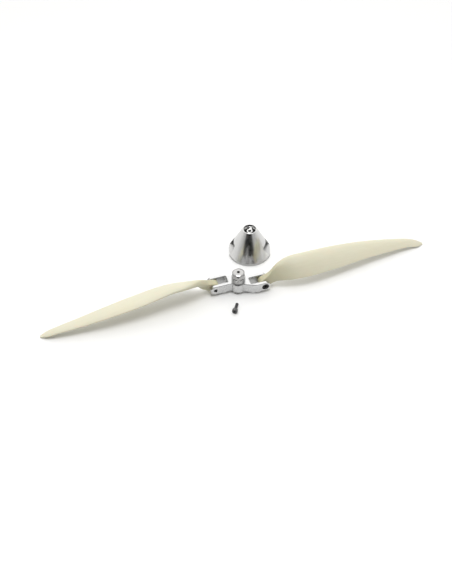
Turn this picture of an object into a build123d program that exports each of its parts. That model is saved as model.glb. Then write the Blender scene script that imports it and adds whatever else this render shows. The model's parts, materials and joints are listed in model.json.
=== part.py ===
"""Folding two-blade propeller with its aluminium hub, and the spinner that belongs to it.

The set lies as it does on a table before it is fitted to a motor: the hub stands upright, both
blades droop until their tips touch the table, the spinner stands on its backplate behind the hub
and the spinner screw lies in front.

Frame: millimetres, +Z forward along the rotor axis, +X out along one blade.  The origin is on the
rotor axis at the collet's rear face, which is the table's level.  The second blade and fork are the
first ones turned half a turn about Z.
"""
from build123d import *
from math import asin, atan, atan2, cos, degrees, hypot, pi, radians, sin
import os

os.makedirs("parts", exist_ok=True)

# ---- Driving dimensions ----

# Propeller
prop_diameter = 330
prop_pitch = 165
tip_rest = 0.32            # height of the tip's middle above the table, half its own thickness

# Yoke
pin_spacing = 40           # between the two hinge screws, along X
fork_offset = 4            # each fork's middle plane stands this far off the rotor axis
yoke_height = 8.4
ear_thickness = 2.7
boss_radius = 6.8
pocket_reach = 8.5         # from the rotor axis to the inner end of a fork's pocket
pocket_corner_radius = 1.0
waist_reach = 7            # where the straight side of the other fork ends beside the boss
shoulder_reach = 12.5      # where the fork's outer side reaches its full width

# Blade root, bushes and washers
root_width = 6.6
root_radius = 4.1
neck_start_angles = (106, -72)                       # degrees round the hinge, from out along the blade
neck_corners = ((8.2, 8.6), (9.6, 3.2), (6.4, -1.6))   # out along the blade and forward of the hinge
bush_radius = 2.3
washer_thickness = 0.3
washer_radius = 3.4
side_play = 0.05           # between a washer and the blade root, each side
pin_play = 0.03            # radial, hinge screw in its bush

# Hinge screws
screw_radius = 1.5
screw_head_radius = 2.75
screw_head_height = 1.5
head_pocket_depth = 1.7
head_pocket_play = 0.2
screw_tip_recess = 0.4
hole_play = 0.05           # radial, a plain hole round a screw or sleeve
hinge_socket_flats = 2.0
hinge_socket_depth = 0.9

# Collet, collar and nut
motor_shaft_radius = 2.5
flange_radius = 6.0
flange_thickness = 0.8
spigot_radius = 4.6
thread_radius = 3.5
thread_length = 7.6        # above the yoke
collet_slot_width = 0.7
collet_slot_length = 9.0
collet_slot_count = 3
collar_radius = 5.7
collar_height = 4.25
nut_flats = 10.0
nut_height = 5.0
nut_side_height = 2.6      # flats, at the corners
nut_crown_radius = 2.0
nut_turn = 12.1            # degrees, how far the nut happens to be turned
thread_play = 0.05

# Spinner
spinner_radius = 18
spinner_height = 26        # with the backplate
nose_radius = 5.9
cone_wall = 1.3            # square to the cone's surface
plate_thickness = 2.0
plate_flat_depth = 0.9     # of the two flats on the backplate's rim
register_height = 1.0
register_play = 0.2
register_width = 1.9
slot_side_play = 0.4       # cone slot beside the fork
slot_top_play = 0.7
slot_corner_radius = 2.0
nose_rim = 0.7
nose_recess = 2.15
seat_thickness = 1.5
seat_boss_radius = 2.4
seat_play = 0.1            # between the seat's boss and the dome nut when the spinner is on
seat_hole_play = 0.1       # radial, round the spinner screw
seat_web_width = 2.2
seat_web_turn = 62.0       # degrees, from the spinner's own X
spinner_place = (22.3, 38.4)
spinner_turn = -4.1

# Spinner screw
spinner_screw_radius = 1.25
spinner_screw_length = 7.6
spinner_screw_head_radius = 2.25
spinner_screw_head_height = 2.5
spinner_socket_flats = 2.0
spinner_screw_place = (-11.4, -25.4)
spinner_screw_heading = 60.3

edge_break = 0.3           # chamfer on turned edges

# ---- Sizes that follow ----

pin_x = pin_spacing / 2
pocket_width = root_width + 2 * (washer_thickness + side_play)
fork_width = pocket_width + 2 * ear_thickness
half_fork = fork_width / 2
ear_radius = yoke_height / 2
yoke_bottom = plate_thickness
yoke_top = yoke_bottom + yoke_height
pin_height = yoke_bottom + ear_radius
collar_top = yoke_top + collar_height
thread_top = yoke_top + thread_length
nut_top = collar_top + nut_height
blade_reach = prop_diameter / 2 - pin_x


def hinge_plane(side):
    """Plane across a fork at its hinge: X outwards, Y up, normal towards the screw's head."""
    origin = (side * pin_x, -side * fork_offset, pin_height)
    return Plane(origin=origin, x_dir=(side, 0, 0), z_dir=(0, -side, 0))


# ---- Yoke: one milled piece, two forks joined by a round boss ----

inner_side = half_fork - fork_offset
outer_side = half_fork + fork_offset
fork_end = pin_x + ear_radius

with BuildPart() as yoke:
    with BuildSketch(Plane.XY.offset(yoke_bottom)) as yoke_outline:
        with BuildLine():
            Polyline(
                (fork_end, -outer_side),
                (fork_end, inner_side),
                (waist_reach, inner_side),
                (-shoulder_reach, outer_side),
                (-fork_end, outer_side),
                (-fork_end, -inner_side),
                (-waist_reach, -inner_side),
                (shoulder_reach, -outer_side),
                close=True,
            )
        make_face()
        Circle(boss_radius)
    extrude(amount=yoke_height)
    with BuildSketch(Plane.XZ.offset(-outer_side)) as yoke_side:
        with Locations((0, pin_height)):
            SlotCenterToCenter(pin_spacing, yoke_height)
    extrude(amount=2 * outer_side, mode=Mode.INTERSECT)
    with BuildSketch(Plane.XY.offset(yoke_bottom)) as pockets:
        for side in (1, -1):
            middle = side * (pocket_reach + fork_end) / 2
            with Locations((middle, -side * fork_offset)):
                pocket = Rectangle(fork_end - pocket_reach, pocket_width)
            inner_corners = pocket.vertices().sort_by(lambda corner: abs(corner.X))[:2]
            fillet(inner_corners, pocket_corner_radius)
    extrude(amount=yoke_height, mode=Mode.SUBTRACT)
    flat_faces = yoke.faces().filter_by(Axis.Z)
    chamfer(flat_faces.edges(), edge_break)
    with BuildSketch(Plane.XY.offset(yoke_bottom)) as taper_foot:
        Circle(spigot_radius)
    with BuildSketch(Plane.XY.offset(yoke_top)) as taper_head:
        Circle(thread_radius)
    loft(mode=Mode.SUBTRACT)
    for side in (1, -1):
        with Locations(hinge_plane(side).offset(half_fork)):
            CounterBoreHole(
                radius=screw_radius + hole_play,
                counter_bore_radius=screw_head_radius + head_pocket_play,
                counter_bore_depth=head_pocket_depth,
                depth=ear_thickness,
            )
        thread_face = hinge_plane(side).offset(-half_fork)
        with Locations(Plane(thread_face.origin, x_dir=thread_face.x_dir, z_dir=-thread_face.z_dir)):
            CounterSinkHole(
                radius=screw_radius,
                counter_sink_radius=screw_radius + edge_break,
                depth=ear_thickness,
            )
yoke.part.label = "yoke"
export_step(yoke.part, "parts/yoke.step")

# ---- Collet: slotted sleeve, wedged in the yoke's taper, with a flange behind the backplate ----

with BuildPart() as collet:
    with BuildSketch(Plane.XZ) as collet_profile:
        with BuildLine():
            Polyline(
                (motor_shaft_radius, 0),
                (flange_radius - edge_break, 0),
                (flange_radius, edge_break),
                (flange_radius, flange_thickness),
                (spigot_radius, flange_thickness),
                (spigot_radius, yoke_bottom),
                (thread_radius, yoke_top),
                (thread_radius, thread_top - edge_break),
                (thread_radius - edge_break, thread_top),
                (motor_shaft_radius, thread_top),
                close=True,
            )
        make_face()
    revolve(axis=Axis.Z)
    with BuildSketch() as collet_slots:
        with PolarLocations(flange_radius / 2, collet_slot_count):
            Rectangle(flange_radius, collet_slot_width)
    extrude(amount=collet_slot_length, mode=Mode.SUBTRACT)
collet.part.label = "collet"
export_step(collet.part, "parts/collet.step")

# ---- Clamp collar: plain turned ring between the yoke and the nut ----

with BuildPart() as clamp_collar:
    with BuildSketch(Plane.XY.offset(yoke_top)) as collar_ring:
        Circle(collar_radius)
        Circle(thread_radius + hole_play, mode=Mode.SUBTRACT)
    extrude(amount=collar_height)
    rims = clamp_collar.edges().filter_by(GeomType.CIRCLE)
    chamfer(rims.filter_by(lambda e: e.radius > collar_radius - edge_break), edge_break)
clamp_collar.part.label = "clamp_collar"
export_step(clamp_collar.part, "parts/clamp_collar.step")

# ---- Dome nut: hexagon turned to a crown, threaded right through for the spinner screw ----

nut_corner_radius = nut_flats / 2 / cos(pi / 6)
crown_foot = collar_top + nut_side_height

with BuildPart() as dome_nut:
    with BuildSketch(Plane.XY.offset(collar_top)) as nut_hexagon:
        RegularPolygon(nut_flats / 2, 6, major_radius=False, rotation=nut_turn + 30)
    extrude(amount=nut_height)
    with BuildSketch(Plane.XZ) as nut_envelope:
        with BuildLine():
            Polyline(
                (nut_crown_radius, nut_top),
                (0, nut_top),
                (0, collar_top),
                (nut_corner_radius - edge_break, collar_top),
                (nut_corner_radius, collar_top + edge_break),
                (nut_corner_radius, crown_foot),
            )
            TangentArc((nut_corner_radius, crown_foot), (nut_crown_radius, nut_top), tangent=(0, 1))
        make_face()
    revolve(axis=Axis.Z, mode=Mode.INTERSECT)
    with BuildSketch(Plane.XY.offset(collar_top)) as nut_thread:
        Circle(thread_radius + thread_play)
    extrude(amount=thread_top + edge_break - collar_top, mode=Mode.SUBTRACT)
    with BuildSketch(Plane.XY.offset(collar_top)) as nut_tapping:
        Circle(spinner_screw_radius)
    extrude(amount=nut_height, mode=Mode.SUBTRACT)
dome_nut.part.label = "dome_nut"
export_step(dome_nut.part, "parts/dome_nut.step")

# ---- Blades, and what each one hinges on ----

# Key sections along the blade: distance out from the hinge as a share of the blade's reach, chord,
# thickness, lead (how far the chord's middle stands ahead of the hinge's middle), rise (how far it
# stands forward of the hinge), turn (degrees added to the pitch angle where the root flattens out
# into the blade), camber (share of the chord) and how bar-like the section is (0 is a pure foil).
key_sections = (
    (0.045, 9.0, 5.2, 0.0, 3.6, 27, 0.00, 1.0),
    (0.090, 14.8, 5.4, 0.1, 8.0, 9, 0.01, 0.5),
    (0.150, 19.6, 4.9, 0.3, 10.2, 1, 0.03, 0.1),
    (0.250, 21.4, 3.8, 0.2, 11.6, 0, 0.04, 0.0),
    (0.430, 20.9, 2.8, 2.8, 11.7, 0, 0.04, 0.0),
    (0.600, 17.4, 2.1, 5.1, 11.8, 0, 0.04, 0.0),
    (0.770, 12.9, 1.6, 6.4, 11.0, 0, 0.035, 0.0),
    (0.900, 9.1, 1.2, 6.5, 10.0, 0, 0.03, 0.0),
    (0.960, 7.4, 1.0, 5.9, 8.4, 0, 0.02, 0.0),
    (1.000, 2.3, 0.6, 5.4, 7.3, 0, 0.00, 0.0),
)
section_count = 19
side_steps = 9             # points along each side of a section
bar_squareness = 0.35
foil_nose_weight = 0.62    # how far a foil's thickness is shifted towards its nose
tip_rise = key_sections[-1][4]
droop = atan2(tip_rise, blade_reach) + asin((pin_height - tip_rest) / hypot(tip_rise, blade_reach))


def blade_frame(side):
    """Frame at a hinge, drooped with the blade: X out along it, Y ahead, Z forward."""
    origin = (side * pin_x, -side * fork_offset, pin_height)
    outwards = (side * cos(droop), 0, -sin(droop))
    forward = (side * sin(droop), 0, cos(droop))
    return Plane(origin=origin, x_dir=outwards, z_dir=forward)


def blade_values(share):
    """The key sections' values at any share of the reach, joined by smooth cubic curves."""
    last = len(key_sections) - 1
    i = max(k for k in range(last) if key_sections[k][0] <= share)
    near, far = key_sections[i], key_sections[i + 1]
    before, after = key_sections[max(i - 1, 0)], key_sections[min(i + 2, last)]
    gap = far[0] - near[0]
    t = (share - near[0]) / gap
    values = []
    for column in range(1, len(near)):
        slope_near = (far[column] - before[column]) / (far[0] - before[0]) * gap
        slope_far = (after[column] - near[column]) / (after[0] - near[0]) * gap
        step = far[column] - near[column]
        bend = (1 - t) * (slope_near - step) - t * (slope_far - step)
        values.append(near[column] + step * t + t * (1 - t) * bend)
    return values


def section_side(chord, thickness, camber, bar, face):
    """Points from nose to tail along one side of a section: a rounded bar or a thin-tailed foil."""
    points = []
    for i in range(side_steps + 1):
        angle = pi * i / side_steps
        along = cos(angle)
        across = sin(angle) ** (1 - bar_squareness * bar) * (1 + foil_nose_weight * (1 - bar) * along)
        arch = camber * chord * (1 - along ** 2)
        points.append((chord / 2 * along, face * thickness / 2 * across + arch))
    return points


for side, name in ((1, "right"), (-1, "left")):
    frame = blade_frame(side)
    hinge = hinge_plane(side)
    with BuildPart() as blade:
        for i in range(section_count):
            share = key_sections[0][0] + (1 - key_sections[0][0]) * i / (section_count - 1)
            chord, thickness, lead, rise, turn, camber, bar = blade_values(share)
            distance = share * blade_reach
            pitch_angle = atan(prop_pitch / (2 * pi * (pin_x + distance))) + radians(turn)
            chord_dir = frame.y_dir * cos(pitch_angle) + frame.z_dir * sin(pitch_angle)
            middle = frame.from_local_coords((distance, lead, rise))
            with BuildSketch(Plane(origin=middle, x_dir=chord_dir, z_dir=frame.x_dir)):
                with BuildLine():
                    Spline(section_side(chord, thickness, camber, bar, 1))
                    Spline(section_side(chord, thickness, camber, bar, -1))
                make_face()
        loft()
        root_plane = Plane(origin=frame.origin, x_dir=frame.x_dir, z_dir=-frame.y_dir)
        neck_starts = [Vector(root_radius, 0).rotate(Axis.Z, angle) for angle in neck_start_angles]
        with BuildSketch(root_plane) as root_side:
            Circle(root_radius)
            with BuildLine():
                Polyline(neck_starts[0], *neck_corners, neck_starts[1], close=True)
            make_face()
        extrude(amount=root_width / 2, both=True)
        with BuildSketch(hinge) as bush_bore:
            Circle(bush_radius)
        extrude(amount=root_width / 2, both=True, mode=Mode.SUBTRACT)
    blade.part.label = f"blade_{name}"
    export_step(blade.part, f"parts/blade_{name}.step")

    with BuildPart() as bush:
        with BuildSketch(hinge) as bush_ring:
            Circle(bush_radius)
            Circle(screw_radius + pin_play, mode=Mode.SUBTRACT)
        extrude(amount=root_width / 2, both=True)
    bush.part.label = f"blade_bush_{name}"
    export_step(bush.part, f"parts/blade_bush_{name}.step")

    for face, start in (("head", pocket_width / 2 - washer_thickness), ("tip", -pocket_width / 2)):
        with BuildPart() as washer:
            with BuildSketch(hinge.offset(start)) as washer_ring:
                Circle(washer_radius)
                Circle(screw_radius + hole_play, mode=Mode.SUBTRACT)
            extrude(amount=washer_thickness)
        washer.part.label = f"root_washer_{name}_{face}"
        export_step(washer.part, f"parts/root_washer_{name}_{face}.step")

    head_seat = half_fork - head_pocket_depth
    with BuildPart() as hinge_screw:
        with BuildSketch(hinge.offset(screw_tip_recess - half_fork)) as shank:
            Circle(screw_radius)
        extrude(amount=head_seat + half_fork - screw_tip_recess)
        with BuildSketch(hinge.offset(head_seat)) as head:
            Circle(screw_head_radius)
        extrude(amount=screw_head_height)
        top = hinge_screw.faces().sort_by(Axis.Y)[0 if side > 0 else -1]
        chamfer(top.edges(), edge_break)
        with BuildSketch(hinge.offset(head_seat + screw_head_height)) as socket:
            RegularPolygon(hinge_socket_flats / 2, 6, major_radius=False)
        extrude(amount=-hinge_socket_depth, mode=Mode.SUBTRACT)
    hinge_screw.part.label = f"hinge_screw_{name}"
    export_step(hinge_screw.part, f"parts/hinge_screw_{name}.step")

# ---- Spinner: hollow turned cone on a flat backplate ----

spinner_frame = Plane(
    origin=(*spinner_place, 0),
    x_dir=(cos(radians(spinner_turn)), sin(radians(spinner_turn)), 0),
    z_dir=(0, 0, 1),
)
spinner_axis = Axis(spinner_frame.origin, (0, 0, 1))
spinner_side = Plane(origin=spinner_frame.origin, x_dir=spinner_frame.x_dir, z_dir=-spinner_frame.y_dir)
cone_slope = (spinner_radius - nose_radius) / (spinner_height - plate_thickness)
flat_wall = cone_wall * hypot(1, cone_slope)
base_inner_radius = spinner_radius - flat_wall
seat_top = spinner_height - nose_recess
seat_bottom = seat_top - seat_thickness
boss_foot = nut_top + seat_play
seat_inner_radius = base_inner_radius - cone_slope * (seat_bottom - plate_thickness)
recess_radius = nose_radius - nose_rim
slot_width = fork_width + 2 * slot_side_play
slot_height = yoke_height + slot_top_play

with BuildPart() as spinner_cone:
    with BuildSketch(spinner_side) as cone_profile:
        with BuildLine():
            Polyline(
                (base_inner_radius, plate_thickness),
                (spinner_radius, plate_thickness),
                (nose_radius, spinner_height),
                (recess_radius, spinner_height),
                (recess_radius, seat_top),
                (0, seat_top),
                (0, seat_bottom),
                (seat_inner_radius, seat_bottom),
                close=True,
            )
        make_face()
    revolve(axis=spinner_axis)
    for side in (1, -1):
        across = spinner_frame.y_dir * (-side * fork_offset)
        slot_origin = spinner_frame.origin + across + Vector(0, 0, plate_thickness)
        with BuildSketch(Plane(origin=slot_origin, x_dir=spinner_frame.y_dir, z_dir=spinner_frame.x_dir)):
            slot = Rectangle(slot_width, 2 * slot_height)
            fillet(slot.vertices(), slot_corner_radius)
        extrude(amount=side * spinner_radius, mode=Mode.SUBTRACT)
    with BuildSketch(spinner_frame.offset(seat_bottom)) as air_openings:
        Circle(recess_radius - nose_rim / 2)
        Circle(seat_boss_radius, mode=Mode.SUBTRACT)
        with Locations(Rotation(0, 0, seat_web_turn)):
            Rectangle(2 * recess_radius, seat_web_width, mode=Mode.SUBTRACT)
    extrude(amount=seat_thickness, mode=Mode.SUBTRACT)
    with BuildSketch(spinner_frame.offset(boss_foot)) as seat_boss:
        Circle(seat_boss_radius)
    extrude(amount=seat_top - boss_foot)
    with Locations(spinner_frame.offset(seat_top)):
        Hole(spinner_screw_radius + seat_hole_play, depth=seat_top - boss_foot)
spinner_cone.part.label = "spinner_cone"
export_step(spinner_cone.part, "parts/spinner_cone.step")

slot_bearing = asin(fork_offset / spinner_radius)
register_radius = base_inner_radius - cone_slope * register_height - register_play

with BuildPart() as backplate:
    with BuildSketch(spinner_frame) as plate_outline:
        Circle(spinner_radius)
        with Locations(Rotation(0, 0, -degrees(slot_bearing))):
            Rectangle(2 * (spinner_radius - plate_flat_depth), 2 * spinner_radius, mode=Mode.INTERSECT)
        Circle(spigot_radius + hole_play, mode=Mode.SUBTRACT)
    extrude(amount=plate_thickness)
    with BuildSketch(spinner_frame.offset(plate_thickness)) as register_ring:
        Circle(register_radius)
        Circle(register_radius - register_width, mode=Mode.SUBTRACT)
        for side in (1, -1):
            with Locations((side * spinner_radius / 2, -side * fork_offset)):
                Rectangle(spinner_radius, slot_width, mode=Mode.SUBTRACT)
    extrude(amount=register_height)
    with BuildSketch(spinner_frame) as flange_pocket:
        Circle(flange_radius + hole_play)
    extrude(amount=flange_thickness, mode=Mode.SUBTRACT)
backplate.part.label = "spinner_backplate"
export_step(backplate.part, "parts/spinner_backplate.step")

# ---- Spinner screw: cap screw lying on the table on its head's rim and its tip ----

lean = atan((spinner_screw_head_radius - spinner_screw_radius) / spinner_screw_length)
heading = radians(spinner_screw_heading)
screw_axis_dir = (cos(heading) * cos(lean), sin(heading) * cos(lean), -sin(lean))
screw_side_dir = (-sin(heading), cos(heading), 0)
under_head_height = spinner_screw_head_radius * cos(lean)
screw_plane = Plane(
    origin=(*spinner_screw_place, under_head_height + spinner_screw_head_height * sin(lean)),
    x_dir=screw_side_dir,
    z_dir=screw_axis_dir,
)

with BuildPart() as spinner_screw:
    with BuildSketch(screw_plane) as cap:
        Circle(spinner_screw_head_radius)
    extrude(amount=spinner_screw_head_height)
    with BuildSketch(screw_plane.offset(spinner_screw_head_height)) as stem:
        Circle(spinner_screw_radius)
    extrude(amount=spinner_screw_length)
    with BuildSketch(screw_plane) as cap_socket:
        RegularPolygon(spinner_socket_flats / 2, 6, major_radius=False)
    extrude(amount=spinner_screw_head_height / 2, mode=Mode.SUBTRACT)
spinner_screw.part.label = "spinner_screw"
export_step(spinner_screw.part, "parts/spinner_screw.step")
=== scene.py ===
"""A folding propeller set laid out on a pale table: the hub with its drooping blades, the spinner
behind it and the spinner screw in front.

Lengths are in metres, and mm turns a drawing size into metres.  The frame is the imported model's: the
rotor axis is Z, the table is at Z = 0 and one blade points along +X.
"""
from math import asin, atan, atan2, cos, hypot, pi, radians, sin, tau
import json

import bmesh
import bpy
from mathutils import Matrix, Vector


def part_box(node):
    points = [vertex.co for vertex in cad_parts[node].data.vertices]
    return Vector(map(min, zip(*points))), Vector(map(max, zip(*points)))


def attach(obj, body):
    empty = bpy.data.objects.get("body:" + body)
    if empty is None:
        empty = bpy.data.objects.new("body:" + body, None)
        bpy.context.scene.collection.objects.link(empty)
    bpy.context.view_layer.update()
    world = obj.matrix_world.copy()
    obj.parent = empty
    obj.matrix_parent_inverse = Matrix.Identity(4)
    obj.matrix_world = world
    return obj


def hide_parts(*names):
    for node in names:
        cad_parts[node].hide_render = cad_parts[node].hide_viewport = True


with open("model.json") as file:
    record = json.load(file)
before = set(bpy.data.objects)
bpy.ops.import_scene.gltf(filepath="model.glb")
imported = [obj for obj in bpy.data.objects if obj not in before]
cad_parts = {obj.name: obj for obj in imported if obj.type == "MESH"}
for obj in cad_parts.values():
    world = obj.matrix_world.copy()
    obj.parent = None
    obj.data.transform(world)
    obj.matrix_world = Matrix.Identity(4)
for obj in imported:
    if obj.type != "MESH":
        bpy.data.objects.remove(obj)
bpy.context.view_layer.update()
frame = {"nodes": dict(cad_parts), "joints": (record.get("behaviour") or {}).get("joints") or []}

mm = 0.001
joints = {joint["name"]: joint for joint in frame["joints"]}

# ---- Table, room and camera ----
# A matt white table under one wide soft lamp.  The room is bright overhead and behind and dim at the
# front, so turned metal shows one dark streak there.


def node(owner, kind, inputs=(), **settings):
    """A new node of a material or world; each input is a value or another node's output."""
    made = owner.node_tree.nodes.new("ShaderNode" + kind)
    for setting, value in settings.items():
        setattr(made, setting, value)
    for place, value in dict(inputs).items():
        if isinstance(value, bpy.types.NodeSocket):
            owner.node_tree.links.new(value, made.inputs[place])
        else:
            made.inputs[place].default_value = value
    return made


def spread(owner, value, low, high, to_low, to_high):
    """A value moved from the range low..high to the range to_low..to_high, held at both ends."""
    limits = {"Value": value, "From Min": low, "From Max": high, "To Min": to_low, "To Max": to_high}
    return node(owner, "MapRange", limits).outputs["Result"]


def finish_called(name, **sockets):
    """A new material whose shader has the given values on its own sockets."""
    material = bpy.data.materials.new(name)
    material.use_nodes = True
    shader = material.node_tree.nodes["Principled BSDF"]
    for socket, value in sockets.items():
        shader.inputs[socket.replace("_", " ").title()].default_value = value
    return material


def feed(material, **outputs):
    """Links node outputs to the shader's sockets."""
    shader = material.node_tree.nodes["Principled BSDF"]
    for socket, output in outputs.items():
        material.node_tree.links.new(output, shader.inputs[socket.replace("_", " ").title()])


def towards(owner, bearing, side):
    """How nearly a bearing points to a side: 1 straight at it, 0 square to it."""
    return node(owner, "VectorMath", {0: bearing, 1: side}, operation="DOT_PRODUCT").outputs["Value"]


hub_middle = sum(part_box("yoke"), Vector()) / 2
view_rise = radians(47.1)
view_turn = radians(17.9)
front = Vector((-sin(view_turn), -cos(view_turn), 0))

table_white = finish_called("table_white", Base_Color=(0.9, 0.9, 0.895, 1), Roughness=0.9)
table_grain = node(table_white, "TexNoise", {"Scale": 6, "Detail": 2})
feed(table_white, Roughness=spread(table_white, table_grain.outputs["Fac"], 0.3, 0.7, 0.8, 0.95))
table_reach = 5
table_mesh = bpy.data.meshes.new("table")
table_corners = [(x * table_reach, y * table_reach, 0) for x, y in ((-1, -1), (1, -1), (1, 1), (-1, 1))]
table_mesh.from_pydata(table_corners, [], [(0, 1, 2, 3)])
table = bpy.data.objects.new("table", table_mesh)
table_mesh.materials.append(table_white)
bpy.context.scene.collection.objects.link(table)

room = bpy.data.worlds.new("room")
room.use_nodes = True
bpy.context.scene.world = room
dim_turn = view_turn + radians(8)
dim_strength = 0.012
wall_strength = 0.62
panel_strength = 1.0
dim_side = Vector((-sin(dim_turn), -cos(dim_turn), 0.35)).normalized()
bright_side = Vector((0.20, 0.66, 0.72))
bearing = node(room, "TexCoord").outputs["Generated"]
plain = spread(room, towards(room, bearing, dim_side), 0.70, 0.86, wall_strength, dim_strength)
panel = spread(room, towards(room, bearing, bright_side), 0.62, 0.88, 0, panel_strength)
room_light = room.node_tree.nodes["Background"]
room_light.inputs["Color"].default_value = (1.0, 0.995, 0.985, 1)
strength = node(room, "Math", {0: plain, 1: panel}, operation="ADD").outputs["Value"]
room.node_tree.links.new(strength, room_light.inputs["Strength"])

lamp_data = bpy.data.lights.new("soft_lamp", "AREA")
lamp_data.shape = "RECTANGLE"
lamp_data.size = 0.5
lamp_data.size_y = 0.45
lamp_data.energy = 4.3
lamp = bpy.data.objects.new("soft_lamp", lamp_data)
lamp.location = (-0.02, -0.06, 1.0)
lamp.rotation_euler = (lamp.location - hub_middle).to_track_quat("Z", "Y").to_euler()
bpy.context.scene.collection.objects.link(lamp)

view_distance = 0.918
camera_data = bpy.data.cameras.new("camera")
camera_data.lens = 69.2
camera_data.shift_x = -0.0212
camera_data.shift_y = -0.0147
camera_data.clip_start = 0.01
camera = bpy.data.objects.new("camera", camera_data)
towards_camera = front * cos(view_rise) + Vector((0, 0, sin(view_rise)))
camera.location = hub_middle + towards_camera * view_distance
camera.rotation_euler = towards_camera.to_track_quat("Z", "Y").to_euler()
bpy.context.scene.collection.objects.link(camera)
bpy.context.scene.camera = camera
bpy.context.scene.view_settings.view_transform = "Standard"

# ---- Collet ----
# An aluminium sleeve, turned with its flange and thread in one piece and slotted up from the rear.  The
# nut draws it forward into the yoke's taper, and that closes it on the motor shaft.


def settle(piece):
    """Makes the piece's modifiers part of its mesh."""
    bpy.context.view_layer.update()
    reading = bpy.context.evaluated_depsgraph_get()
    shaped = bpy.data.meshes.new_from_object(piece.evaluated_get(reading), depsgraph=reading)
    piece.modifiers.clear()
    piece.data = shaped
    return piece


def made_of(name, shape):
    """A new object in the scene from a bmesh, with its faces turned outwards."""
    bmesh.ops.recalc_face_normals(shape, faces=shape.faces)
    mesh = bpy.data.meshes.new(name)
    shape.to_mesh(mesh)
    shape.free()
    piece = bpy.data.objects.new(name, mesh)
    bpy.context.scene.collection.objects.link(piece)
    return piece


def rounded(outline, ease, steps=3):
    """The closed outline with each corner off the axis eased over at most a share of its edges."""
    edge_share = 0.4
    eased = []
    for i, point in enumerate(outline):
        corner = Vector(point)
        if corner.x == 0:
            eased.append(corner)
            continue
        before = Vector(outline[i - 1]) - corner
        after = Vector(outline[(i + 1) % len(outline)]) - corner
        start = corner + before * min(ease / before.length, edge_share)
        end = corner + after * min(ease / after.length, edge_share)
        for step in range(steps + 1):
            t = step / steps
            eased.append(start.lerp(corner, t).lerp(corner.lerp(end, t), t))
    return eased


def thread_rows(radius, low, high, pitch, rows_per_turn=8):
    """Outline rows of a thread, deepest in the middle of its length and fading out at both ends."""
    depth = 0.6 * pitch
    count = round((high - low) / pitch * rows_per_turn)
    rows = []
    for i in range(count + 1):
        height = low + (high - low) * i / count
        fade = min(1, i / rows_per_turn, (count - i) / rows_per_turn)
        rows.append((radius, height, depth * fade))
    return rows


def turned(name, outline, pitch=mm, segments=96):
    """A piece spun about Z from a closed outline of radius, height and, in a thread, its depth."""
    shape = bmesh.new()
    rings = []
    for radius, level, *depth in outline:
        if radius == 0:
            rings.append([shape.verts.new((0, 0, level))] * segments)
            continue
        ring = []
        for i in range(segments):
            angle = tau * i / segments
            groove = 0.5 - 0.5 * cos(tau * level / pitch - angle)
            reach = radius - groove * sum(depth)
            ring.append(shape.verts.new((reach * cos(angle), reach * sin(angle), level)))
        rings.append(ring)
    for near, far in zip(rings, rings[1:] + rings[:1]):
        for i in range(segments):
            j = (i + 1) % segments
            corners = list(dict.fromkeys((near[i], near[j], far[j], far[i])))
            if len(corners) > 2:
                shape.faces.new(corners)
    return made_of(name, shape)


def prism(name, outline, low, high):
    """A straight bar along Z with the given outline of (x, y) points."""
    shape = bmesh.new()
    foot = [shape.verts.new((x, y, low)) for x, y in outline]
    head = [shape.verts.new((x, y, high)) for x, y in outline]
    shape.faces.new(foot)
    shape.faces.new(head)
    for i in range(len(outline)):
        shape.faces.new((foot[i - 1], foot[i], head[i], head[i - 1]))
    return made_of(name, shape)


def cut(piece, tool, how="DIFFERENCE"):
    """Takes the tool's shape away from the piece, or with INTERSECT keeps only what both fill."""
    trim = piece.modifiers.new("trim", "BOOLEAN")
    trim.operation = how
    trim.solver = "EXACT"
    trim.object = tool
    settle(piece)
    bpy.data.objects.remove(tool)


def shaded(piece, crease=38):
    """Smooth shading that keeps flat faces flat and creases sharp."""
    piece.data.shade_smooth()
    piece.data.set_sharp_from_angle(angle=radians(crease))
    weigh = piece.modifiers.new("weigh", "WEIGHTED_NORMAL")
    weigh.keep_sharp = True
    return settle(piece)


def grain(owner, place, scale, detail=3, roughness=0.5):
    """A value from 0 to 1 that wanders over a place, scale times a metre."""
    look = {"Vector": place, "Scale": scale, "Detail": detail, "Roughness": roughness}
    return node(owner, "TexNoise", look).outputs["Fac"]


def blend(owner, share, low, high):
    """A colour between low and high, each of them a colour or another node's output."""
    return node(owner, "Mix", {"Factor": share, 6: low, 7: high}, data_type="RGBA").outputs[2]


def bumps(owner, height, strength, depth):
    """The surface raised by a height."""
    look = {"Height": height, "Strength": strength, "Distance": depth}
    return node(owner, "Bump", look).outputs["Normal"]


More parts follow.
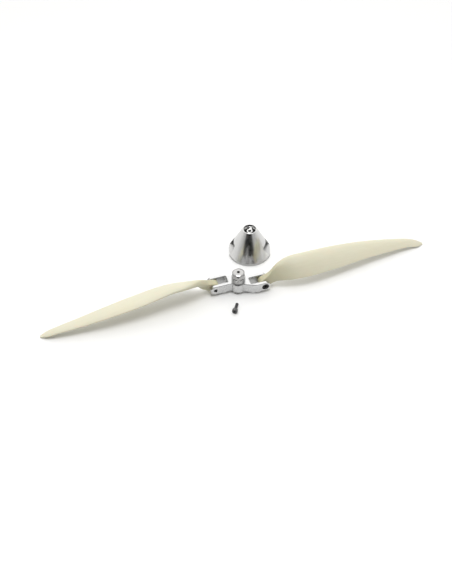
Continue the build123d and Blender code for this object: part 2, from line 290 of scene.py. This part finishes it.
def turned_metal(name, axis_at, colour, roughness, ring_size=0.09 * mm, lie=(0, 0, 0)):
    """Bright turned metal: fine rings about the axis through axis_at, and faint stains."""
    metal = finish_called(name, Base_Color=(*colour, 1), Metallic=1.0, Roughness=roughness)
    place = node(metal, "TexCoord").outputs["Object"]
    moved = node(metal, "VectorMath", {0: place, 1: axis_at}, operation="SUBTRACT").outputs["Vector"]
    turn = node(metal, "VectorRotate", {"Vector": moved, "Rotation": lie}, rotation_type="EULER_XYZ")
    parts = node(metal, "SeparateXYZ", {"Vector": turn.outputs["Vector"]}).outputs
    flat = node(metal, "CombineXYZ", {"X": parts["X"], "Y": parts["Y"]}).outputs["Vector"]
    radius = node(metal, "VectorMath", {0: flat}, operation="LENGTH").outputs["Value"]
    along = node(metal, "CombineXYZ", {"X": radius, "Z": parts["Z"]}).outputs["Vector"]
    rings = grain(metal, along, 1 / ring_size)
    stains = grain(metal, moved, 160, detail=4, roughness=0.6)
    darker = (*(0.88 * c for c in colour), 1)
    lighter = (*(min(1, 1.06 * c) for c in colour), 1)
    worn = node(metal, "Math", {0: rings, 1: stains}, operation="ADD").outputs["Value"]
    feed(
        metal,
        Base_Color=blend(metal, rings, darker, lighter),
        Roughness=spread(metal, worn, 0.7, 1.3, 0.75 * roughness, 1.3 * roughness),
        Normal=bumps(metal, rings, 0.35, 0.01 * mm),
    )
    return metal


def placed(piece, stands_for, body, finish):
    """Gives a finished piece its metal or plastic and puts it in its CAD node's place."""
    piece.data.materials.clear()
    piece.data.materials.append(finish)
    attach(piece, body)
    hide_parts(stands_for)


def dressed(name, finish):
    """Gives a node that keeps its CAD shape its own finish."""
    frame["nodes"][name].material_slots[0].material = finish


edge_ease = 0.25 * mm
shaft_radius = 2.5 * mm
flange_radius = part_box("collet")[1].y
flange_top = 0.8 * mm
spigot_radius = 4.6 * mm
thread_radius = 3.5 * mm
collet_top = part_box("collet")[1].z
yoke_foot, yoke_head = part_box("yoke")[0].z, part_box("yoke")[1].z

collet_outline = rounded([
    (thread_radius, collet_top),
    (shaft_radius, collet_top),
    (shaft_radius, 0),
    (flange_radius, 0),
    (flange_radius, flange_top),
    (spigot_radius, flange_top),
    (spigot_radius, yoke_foot),
    (thread_radius, yoke_head),
], edge_ease)
nut_pitch = 0.75 * mm
thread_end = collet_top - 2 * edge_ease
collet_thread = thread_rows(thread_radius, yoke_head + edge_ease, thread_end, nut_pitch)
collet = turned("collet_turned", collet_outline + collet_thread, pitch=nut_pitch)
slot_half = 0.35 * mm
slot_length = 9 * mm
saw_reach = 9 * mm
saw_outline = [(0, -slot_half), (saw_reach, -slot_half), (saw_reach, slot_half), (0, slot_half)]
for third in range(3):
    saw = prism("saw", saw_outline, -mm, slot_length)
    saw.data.transform(Matrix.Rotation(tau * third / 3, 4, "Z"))
    cut(collet, saw)
sleeve_metal = turned_metal("turned_sleeve", (0, 0, 0), (0.63, 0.62, 0.60), 0.26)
placed(shaded(collet), "collet", "hub", sleeve_metal)

# ---- Yoke ----
# One Z-shaped arm milled from aluminium bar, with a fork at each end for a blade root.  It sits on the
# collet's taper.  The cutter has left faint straight marks on it.

milled_aluminium = finish_called("milled_aluminium", Metallic=1.0, Roughness=0.22)
yoke_place = node(milled_aluminium, "TexCoord").outputs["Object"]
cutter_run = {"Vector": yoke_place, "Scale": (120, 4200, 2600)}
cutter_path = node(milled_aluminium, "Mapping", cutter_run).outputs["Vector"]
cutter_marks = grain(milled_aluminium, cutter_path, 1)
handling = grain(milled_aluminium, yoke_place, 190, detail=5, roughness=0.6)
furrow_tone = (0.52, 0.525, 0.53, 1)
ridge_tone = (0.68, 0.68, 0.675, 1)
feed(
    milled_aluminium,
    Base_Color=blend(milled_aluminium, cutter_marks, furrow_tone, ridge_tone),
    Roughness=spread(milled_aluminium, handling, 0.3, 0.7, 0.17, 0.32),
    Normal=bumps(milled_aluminium, cutter_marks, 0.3, 0.008 * mm),
)
dressed("yoke", milled_aluminium)

# ---- Clamp collar ----
# A plain turned aluminium ring with its rims eased.  It stands on the yoke, round the collet's thread,
# and carries the nut's pull down to the yoke.

collar_low, collar_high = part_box("clamp_collar")
collar_radius = collar_high.x
collar_bore = thread_radius + 0.05 * mm
collar = turned("clamp_collar_turned", rounded([
    (collar_bore, collar_low.z),
    (collar_radius, collar_low.z),
    (collar_radius, collar_high.z),
    (collar_bore, collar_high.z),
], edge_ease))
collar_metal = turned_metal("turned_collar", (0, 0, 0), (0.44, 0.44, 0.435), 0.24)
placed(shaded(collar), "clamp_collar", "hub", collar_metal)

# ---- Dome nut ----
# A steel hexagon, ten across its flats, turned to a smooth crown.  It is threaded for the collet from
# below and tapped right through for the spinner screw.


def circle(radius, points=64):
    """A round outline about the origin."""
    return [(radius * cos(tau * i / points), radius * sin(tau * i / points)) for i in range(points)]


def edges_eased(piece, width, steps=3):
    """Rounds the piece's sharp edges."""
    bevel = piece.modifiers.new("bevel", "BEVEL")
    bevel.width = width
    bevel.segments = steps
    bevel.limit_method = "ANGLE"
    bevel.angle_limit = radians(25)
    return settle(piece)


nut_low, nut_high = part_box("dome_nut")
nut_flats = 10 * mm
nut_corner = nut_flats / 2 / cos(pi / 6)
nut_turn = radians(12.1)
nut_side = 2.6 * mm
crown_radius = 2.0 * mm
crown_steps = 14
tapping_radius = 1.25 * mm
nut_bore = thread_radius + 0.05 * mm
nut_bore_top = collet_top + 0.3 * mm

crown_rise = nut_high.z - nut_low.z - nut_side
crown = []
for i in range(crown_steps + 1):
    angle = pi / 2 * i / crown_steps
    crown.append((
        crown_radius + (nut_corner - crown_radius) * cos(angle),
        nut_low.z + nut_side + crown_rise * sin(angle),
    ))
nut_envelope = [(tapping_radius, nut_low.z), (nut_corner - edge_ease, nut_low.z)]
nut_envelope += [(nut_corner, nut_low.z + edge_ease)] + crown + [(tapping_radius, nut_high.z)]
dome_nut = turned("dome_nut_turned", nut_envelope, segments=120)
corner_angles = [nut_turn + tau * i / 6 for i in range(6)]
hexagon = [(nut_corner * cos(angle), nut_corner * sin(angle)) for angle in corner_angles]
cut(dome_nut, prism("hexagon", hexagon, nut_low.z - mm, nut_high.z + mm), "INTERSECT")
cut(dome_nut, prism("drill", circle(nut_bore), nut_low.z - mm, nut_bore_top))
edges_eased(dome_nut, 0.2 * mm)
nut_steel = turned_metal("nut_steel", (0, 0, 0), (0.45, 0.446, 0.44), 0.14)
placed(shaded(dome_nut), "dome_nut", "nut", nut_steel)

# ---- Root washers ----
# Four thin washers stamped from sheet steel.  One lies on each side of each blade root, so that nylon
# never rubs on aluminium.

washer_steel = finish_called("washer_steel", Metallic=1.0, Roughness=0.3)
washer_place = node(washer_steel, "TexCoord").outputs["Object"]
scuffs = grain(washer_steel, washer_place, 1500, detail=4)
feed(
    washer_steel,
    Base_Color=blend(washer_steel, scuffs, (0.50, 0.50, 0.49, 1), (0.66, 0.66, 0.65, 1)),
    Roughness=spread(washer_steel, scuffs, 0.3, 0.7, 0.25, 0.45),
)
for side in ("right", "left"):
    for end in ("head", "tip"):
        dressed(f"root_washer_{side}_{end}", washer_steel)

# ---- Blades ----
# Two glass-filled nylon blades, injection moulded in ivory.  Each one is a foil that narrows and turns
# on edge to become a rounded eye round its hinge screw, and a faint mould line runs round its rim.

blade_diameter = 330 * mm
blade_pitch = 165 * mm
hinge_at = Vector(joints["right_blade_fold"]["pos_m"])
blade_reach = blade_diameter / 2 - hinge_at.x
tip_rest = 0.32 * mm
eye_radius = 4.1 * mm
eye_width = 6.6 * mm
bush_radius = 2.3 * mm
mould_line = 0.05 * mm
bar_squareness = 0.72
foil_nose_weight = 0.62
neck_share = 0.15          # of the reach, from the hinge, over which the sections lean with the neck
section_points = 56
stations = 96
eye_steps = 12

# Share of the blade's reach, then in mm: chord, thickness, lead and rise of the section's middle; then
# degrees added to the pitch angle, camber as a share of the chord, and how bar-like the section is.
key_sections = (
    (0.000, 8.2, 6.6, 0.0, 0.0, 37.3, 0.00, 1.0),
    (0.045, 9.0, 5.2, 0.0, 3.6, 27, 0.00, 1.0),
    (0.090, 14.8, 5.4, 0.1, 8.0, 9, 0.01, 0.5),
    (0.150, 19.6, 4.9, 0.3, 10.2, 1, 0.03, 0.1),
    (0.250, 21.4, 3.8, 0.2, 11.6, 0, 0.04, 0.0),
    (0.430, 20.9, 2.8, 2.8, 11.7, 0, 0.04, 0.0),
    (0.600, 17.4, 2.1, 5.1, 11.8, 0, 0.04, 0.0),
    (0.770, 12.9, 1.6, 6.4, 11.0, 0, 0.035, 0.0),
    (0.900, 9.1, 1.2, 6.5, 10.0, 0, 0.03, 0.0),
    (0.960, 7.4, 1.0, 5.9, 8.4, 0, 0.02, 0.0),
    (1.000, 2.3, 0.6, 5.4, 7.3, 0, 0.00, 0.0),
)
tip_rise = key_sections[-1][4] * mm
droop = atan2(tip_rise, blade_reach) + asin((hinge_at.z - tip_rest) / hypot(tip_rise, blade_reach))


def blade_values(share):
    """The key sections' values at any share of the reach, joined by smooth cubic curves."""
    last = len(key_sections) - 1
    i = max(k for k in range(last) if key_sections[k][0] <= share)
    near, far = key_sections[i], key_sections[i + 1]
    before, after = key_sections[max(i - 1, 0)], key_sections[min(i + 2, last)]
    gap = far[0] - near[0]
    t = (share - near[0]) / gap
    values = []
    for column in range(1, len(near)):
        slope_near = (far[column] - before[column]) / (far[0] - before[0]) * gap
        slope_far = (after[column] - near[column]) / (after[0] - near[0]) * gap
        step = far[column] - near[column]
        bend = (1 - t) * (slope_near - step) - t * (slope_far - step)
        values.append(near[column] + step * t + t * (1 - t) * bend)
    return values


def middle_at(share):
    """The middle of the section at a share of the reach, from the hinge."""
    lead, rise = blade_values(min(share, 1))[2:4]
    return Vector((share * blade_reach, lead * mm, rise * mm))


def section_ring(middle, outwards, turn, chord, thickness, camber, bar):
    """Points round one section, nose first: a thin-tailed foil that blends into a square-edged bar."""
    up = outwards.cross(Vector((0, 1, 0))).normalized()
    ahead = up.cross(outwards).normalized()
    chord_dir = ahead * cos(turn) + up * sin(turn)
    thick_dir = outwards.cross(chord_dir).normalized()
    squareness = 1 - bar_squareness * bar
    ring = []
    for i in range(section_points):
        angle = tau * i / section_points
        along, across = cos(angle), sin(angle)
        foil = across * (1 + foil_nose_weight * along)
        block_along = abs(along) ** squareness * (1 if along > 0 else -1)
        block_across = abs(across) ** squareness * (1 if across > 0 else -1)
        x = along + (block_along - along) * bar
        y = foil + (block_across - foil) * bar
        seam = mould_line * (1 - bar) if i % (section_points // 2) == 0 else 0
        reach = chord / 2 * x + seam * along
        lift = thickness / 2 * y + camber * chord * (1 - x * x)
        ring.append(middle + chord_dir * reach + thick_dir * lift)
    return ring


def blade_rings():
    """Every section ring of a blade in its hinge's frame, from the back of the eye to the tip."""
    rings = []
    neck = (middle_at(0.02) - middle_at(0)).normalized()
    first_step = 0.35
    for i in range(eye_steps):
        angle = pi / 2 * (i + first_step) / eye_steps
        middle = neck * (-eye_radius * cos(angle))
        rings.append(section_ring(middle, neck, pi / 2, 2 * eye_radius * sin(angle), eye_width, 0, 1))
    for i in range(stations + 1):
        share = 0.5 - 0.5 * cos(pi * i / stations)
        chord, thickness, _, _, turn, camber, bar = blade_values(share)
        outwards = (middle_at(share + 0.01) - middle_at(max(share - 0.01, 0))).normalized()
        leaning = max(0, 1 - share / neck_share)
        outwards = Vector((1, 0, 0)).lerp(outwards, leaning).normalized()
        pitch_angle = atan(blade_pitch / (tau * (hinge_at.x + share * blade_reach))) + radians(turn)
        middle = middle_at(share)
        rings.append(section_ring(middle, outwards, pitch_angle, chord * mm, thickness * mm, camber, bar))
    return rings


def blade_skin(name):
    """The closed skin over the rings, with each end zipped shut across its thickness."""
    shape = bmesh.new()
    rings = [[shape.verts.new(point) for point in ring] for ring in blade_rings()]
    for near, far in zip(rings, rings[1:]):
        for i in range(section_points):
            shape.faces.new((near[i - 1], near[i], far[i], far[i - 1]))
    for end in (rings[0], rings[-1]):
        for i in range(section_points // 2):
            corners = (end[i], end[i + 1], end[-i - 1], end[-i])
            shape.faces.new(list(dict.fromkeys(corners)))
    return made_of(name, shape)


ivory_nylon = finish_called(
    "ivory_nylon",
    Roughness=0.42,
    Subsurface_Weight=0.12,
    Subsurface_Scale=1.2 * mm,
)
blade_place = node(ivory_nylon, "TexCoord").outputs["Object"]
flow = node(ivory_nylon, "Mapping", {"Vector": blade_place, "Scale": (55, 650, 650)}).outputs["Vector"]
fibres = grain(ivory_nylon, flow, 1, detail=5, roughness=0.6)
clouds = spread(ivory_nylon, grain(ivory_nylon, blade_place, 28), 0.35, 0.7, 0, 0.4)
grit = grain(ivory_nylon, blade_place, 2600, detail=2)
blade_xyz = node(ivory_nylon, "SeparateXYZ", {"Vector": blade_place}).outputs
blade_flat = node(ivory_nylon, "CombineXYZ", {"X": blade_xyz["X"], "Y": blade_xyz["Y"]}).outputs["Vector"]
from_axis = node(ivory_nylon, "VectorMath", {0: blade_flat}, operation="LENGTH").outputs["Value"]
# Painted shade: the nylon turns darker and more olive towards the rotor axis. This stands in for the shade
# round the hub on the blade roots, and partly for the thicker roots' deeper tone.
root_shade_share = spread(ivory_nylon, from_axis, 20 * mm, 48 * mm, 0.75, 0)
fibre_tone = blend(ivory_nylon, fibres, (0.60, 0.575, 0.43, 1), (0.69, 0.67, 0.54, 1))
cloud_tone = blend(ivory_nylon, clouds, fibre_tone, (0.67, 0.63, 0.46, 1))
skin_height = node(ivory_nylon, "Math", {0: fibres, 1: grit}, operation="ADD").outputs["Value"]
feed(
    ivory_nylon,
    Base_Color=blend(ivory_nylon, root_shade_share, cloud_tone, (0.47, 0.44, 0.27, 1)),
    Roughness=spread(ivory_nylon, fibres, 0.3, 0.7, 0.36, 0.52),
    Normal=bumps(ivory_nylon, skin_height, 0.35, 0.03 * mm),
)

hinge_frame = Matrix.Translation(hinge_at) @ Matrix.Rotation(droop, 4, "Y")
for side, half_turns in (("right", 0), ("left", 1)):
    blade = blade_skin(f"blade_{side}_moulded")
    reamer = prism("reamer", circle(bush_radius), -eye_width, eye_width)
    reamer.data.transform(Matrix.Rotation(pi / 2, 4, "X"))
    cut(blade, reamer)
    blade.data.transform(Matrix.Rotation(pi * half_turns, 4, "Z") @ hinge_frame)
    placed(shaded(blade, crease=50), f"blade_{side}", f"{side}_blade", ivory_nylon)

# ---- Blade bushes ----
# A turned brass sleeve pressed into each blade's eye.  It turns on the hinge screw, and the lathe's rings
# run round that screw's axis.

for side in ("right", "left"):
    sleeve_low, sleeve_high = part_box(f"blade_bush_{side}")
    across = (sleeve_low + sleeve_high) / 2
    bush_brass = turned_metal(f"bush_brass_{side}", across, (0.72, 0.52, 0.25), 0.25, lie=(pi / 2, 0, 0))
    dressed(f"blade_bush_{side}", bush_brass)

# ---- Hinge screws ----
# Black-oxide cap screws with low heads.  Each one passes through the near ear, a washer each side of
# the blade and the brass sleeve, and screws into the far ear.


def cap_screw(name, radius, length, head_radius, head_height, flats, socket_depth, pitch, thread_length):
    """A socket screw along Z, with the underside of its head at Z = 0 and its tip below."""
    threads = thread_rows(radius, -length + edge_ease, -length + thread_length, pitch)
    foot = [Vector((0, -length)), Vector((radius - edge_ease, -length))]
    head = rounded([(radius, 0), (head_radius, 0), (head_radius, head_height), (0, head_height)], edge_ease)
    # The corner under the head stays square, so it takes the place of its four eased points.
    under_head = [Vector((radius, 0))]
    screw = turned(name, foot + threads + under_head + head[4:], pitch=pitch, segments=64)
    key = circle(flats / 2 / cos(pi / 6), 6)
    cut(screw, prism("key", key, head_height - socket_depth, head_height + mm))
    return screw


def oxide_steel(name, dark, worn):
    """Black-oxide steel, rubbed thin in spots."""
    steel = finish_called(name, Metallic=1.0, Roughness=0.42)
    wear = grain(steel, node(steel, "TexCoord").outputs["Object"], 900, detail=5, roughness=0.65)
    rubbed = spread(steel, wear, 0.45, 0.75, 0, 1)
    oxide_tone = (dark, dark, 1.03 * dark, 1)
    worn_tone = (worn, 0.97 * worn, 0.93 * worn, 1)
    feed(
        steel,
        Base_Color=blend(steel, rubbed, oxide_tone, worn_tone),
        Roughness=spread(steel, wear, 0.3, 0.7, 0.34, 0.55),
        Normal=bumps(steel, wear, 0.3, 0.02 * mm),
    )
    return steel


black_oxide = oxide_steel("black_oxide", 0.02, 0.07)
hinge_head_height = 1.5 * mm
for side, towards_head in (("right", -1), ("left", 1)):
    low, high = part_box(f"hinge_screw_{side}")
    shank_length = high.y - low.y - hinge_head_height
    screw = cap_screw(
        f"hinge_screw_{side}_turned",
        radius=1.5 * mm,
        length=shank_length,
        head_radius=(high.x - low.x) / 2,
        head_height=hinge_head_height,
        flats=2.0 * mm,
        socket_depth=0.9 * mm,
        pitch=0.5 * mm,
        thread_length=3.0 * mm,
    )
    under_head = (high.y if towards_head > 0 else low.y) - towards_head * hinge_head_height
    seat = Vector(((low.x + high.x) / 2, under_head, (low.z + high.z) / 2))
    screw.data.transform(Matrix.Translation(seat) @ Matrix.Rotation(-towards_head * pi / 2, 4, "X"))
    placed(shaded(screw), f"hinge_screw_{side}", "hub", black_oxide)

# ---- Spinner backplate ----
# A turned aluminium disc with two flats on its rim.  Its low ring centres the cone, and its bore fits
# over the collet.

cone_low, cone_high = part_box("spinner_cone")
spinner_axis = Vector(((cone_low.x + cone_high.x) / 2, (cone_low.y + cone_high.y) / 2, 0))
plate_metal = turned_metal("turned_plate", spinner_axis, (0.46, 0.46, 0.455), 0.35)
dressed("spinner_backplate", plate_metal)

# ---- Spinner cone ----
# A hollow cone turned from aluminium bar, with a slot each side for a fork of the yoke and two half-moon
# openings in its nose that let cooling air in.  The lathe tool's rings make its highlights fan out.

spinner_turn = radians(-4.1)
spinner_radius = (cone_high.y - cone_low.y) / 2
nose_radius = 5.9 * mm
nose_rim = 0.7 * mm
nose_recess = 2.15 * mm
seat_thickness = 1.5 * mm
seat_hole_radius = 1.35 * mm
cone_wall = 1.3 * mm
cone_slope = (spinner_radius - nose_radius) / (cone_high.z - cone_low.z)
inner_radius = spinner_radius - cone_wall * hypot(1, cone_slope)
seat_top = cone_high.z - nose_recess
seat_foot = seat_top - seat_thickness
recess_radius = nose_radius - nose_rim
boss_radius = 2.4 * mm
boss_foot = nut_high.z + 0.1 * mm

spinner_cone = turned("spinner_cone_turned", rounded([
    (inner_radius, cone_low.z),
    (spinner_radius, cone_low.z),
    (nose_radius, cone_high.z),
    (recess_radius, cone_high.z),
    (recess_radius, seat_top),
    (seat_hole_radius, seat_top),
    (seat_hole_radius, boss_foot),
    (boss_radius, boss_foot),
    (boss_radius, seat_foot),
    (inner_radius - cone_slope * (seat_foot - cone_low.z), seat_foot),
], 0.2 * mm), segments=192)

slot_half_width = 6.75 * mm
slot_top = 11.1 * mm
slot_corner = 2.0 * mm
fork_offset = 4 * mm
corner_steps = 8
for side in (1, -1):
    slot_outline = [(-mm, -slot_half_width), (-mm, slot_half_width)]
    for centre_y, start in ((slot_half_width - slot_corner, pi / 2), (slot_corner - slot_half_width, 0)):
        for i in range(corner_steps + 1):
            angle = start - pi / 2 * i / corner_steps
            slot_outline.append((
                slot_top - slot_corner + slot_corner * cos(angle),
                centre_y + slot_corner * sin(angle),
            ))
    mill = prism("mill", slot_outline, 0, 2 * spinner_radius)
    stand_up = Matrix(((0, 0, side, 0), (0, 1, 0, 0), (1, 0, 0, 0), (0, 0, 0, 1)))
    mill.data.transform(Matrix.Translation((0, -side * fork_offset, 0)) @ stand_up)
    if stand_up.determinant() < 0:
        mill.data.flip_normals()
    cut(spinner_cone, mill)

opening_radius = recess_radius - nose_rim / 2
web_half = 1.1 * mm
web_turn = radians(62)
arc_steps = 24
for half in (0, 1):
    opening = []
    for radius, way in ((opening_radius, 1), (boss_radius, -1)):
        margin = asin(web_half / radius)
        for i in range(arc_steps + 1):
            angle = margin + (pi - 2 * margin) * (i if way > 0 else arc_steps - i) / arc_steps
            turn_by = angle + web_turn + pi * half
            opening.append((radius * cos(turn_by), radius * sin(turn_by)))
    cut(spinner_cone, prism("opening", opening, seat_foot - mm, seat_top + 0.5 * mm))

spinner_cone.data.transform(Matrix.Translation(spinner_axis) @ Matrix.Rotation(spinner_turn, 4, "Z"))
cone_metal = turned_metal("turned_cone", spinner_axis, (0.64, 0.64, 0.635), 0.2)
cone_metal.node_tree.nodes["Principled BSDF"].inputs["Anisotropic"].default_value = 0.45
cone_tangent = node(cone_metal, "Tangent", direction_type="RADIAL", axis="Z")
feed(cone_metal, Tangent=cone_tangent.outputs["Tangent"])
placed(shaded(spinner_cone), "spinner_cone", "spinner", cone_metal)

# ---- Spinner screw ----
# The black-oxide cap screw that holds the cone on the dome nut, lying loose on the rim of its head and
# on its tip.  Handling has rubbed it paler than the hinge screws.

loose_length = 7.6 * mm
loose_head_height = 2.5 * mm
loose_head_radius = 2.25 * mm
loose_radius = 1.25 * mm
spinner_screw = cap_screw(
    "spinner_screw_turned",
    radius=loose_radius,
    length=loose_length,
    head_radius=loose_head_radius,
    head_height=loose_head_height,
    flats=2.0 * mm,
    socket_depth=1.25 * mm,
    pitch=0.45 * mm,
    thread_length=7.2 * mm,
)
heading = radians(60.3)
lean = atan((loose_head_radius - loose_radius) / loose_length)
tip_direction = Vector((cos(heading) * cos(lean), sin(heading) * cos(lean), -sin(lean)))
spinner_screw.data.transform((-tip_direction).to_track_quat("Z", "Y").to_matrix().to_4x4())
corners = [vertex.co for vertex in spinner_screw.data.vertices]
own_low = Vector(min(c[k] for c in corners) for k in range(3))
own_high = Vector(max(c[k] for c in corners) for k in range(3))
screw_low, screw_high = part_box("spinner_screw")
spinner_screw.data.transform(Matrix.Translation((screw_low + screw_high - own_low - own_high) / 2))
handled_oxide = oxide_steel("handled_oxide", 0.11, 0.33)
placed(shaded(spinner_screw), "spinner_screw", "loose_screw", handled_oxide)
